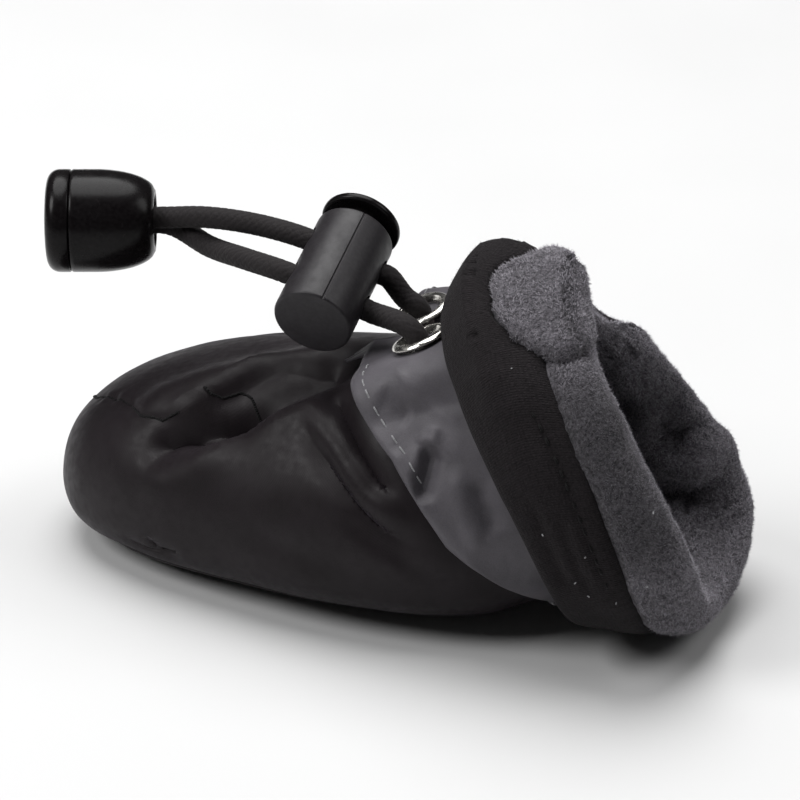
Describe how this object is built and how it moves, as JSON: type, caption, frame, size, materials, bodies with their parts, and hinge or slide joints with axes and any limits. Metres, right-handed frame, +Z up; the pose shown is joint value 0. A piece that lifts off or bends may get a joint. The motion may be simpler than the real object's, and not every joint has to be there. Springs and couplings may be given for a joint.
{
  "type": "dog shoe",
  "caption": "Small soft dog boot: a padded bag on a dotted oval sole, a fleece collar turned down, and an ankle strap with a drawcord, cord lock and bell end.",
  "frame": {"origin": "on the floor under the middle of the sole, at the flat end of the sole's middle dot", "axes": "+X to the toe, +Y to the side where the strap's near end lies, +Z up"},
  "size_m": [0.0968, 0.0456, 0.049],
  "materials": {
    "nylon": "satin woven shell over padding",
    "band": "matte rib knit",
    "reflective": "grey reflective tape",
    "sole": "black knit with glossy rubber dots",
    "lining": "matte fleece",
    "nickel": "polished",
    "cord": "braided",
    "lock": "satin",
    "gloss": "glossy"
  },
  "bodies": {
    "shoe": {"outsole": "sole", "insole": "lining", "upper": "nylon", "collar_band": "band", "ankle_strap": "reflective", "grommet_near": "nickel", "grommet_far": "nickel", "cord_lock_barrel": "lock", "drawcord_near": "cord", "drawcord_far": "cord", "cord_end_bell": "gloss", "cord_end_cap": "gloss"},
    "button": {"cord_lock_button": "gloss"}
  },
  "joints": [
    {"name": "button_press", "type": "slide", "parent": "shoe", "child": "button", "axis": [-0.067, 0.9265, -0.3702], "range_m": [0, 0.0014], "stiffness_N_per_m": 300}
  ]
}
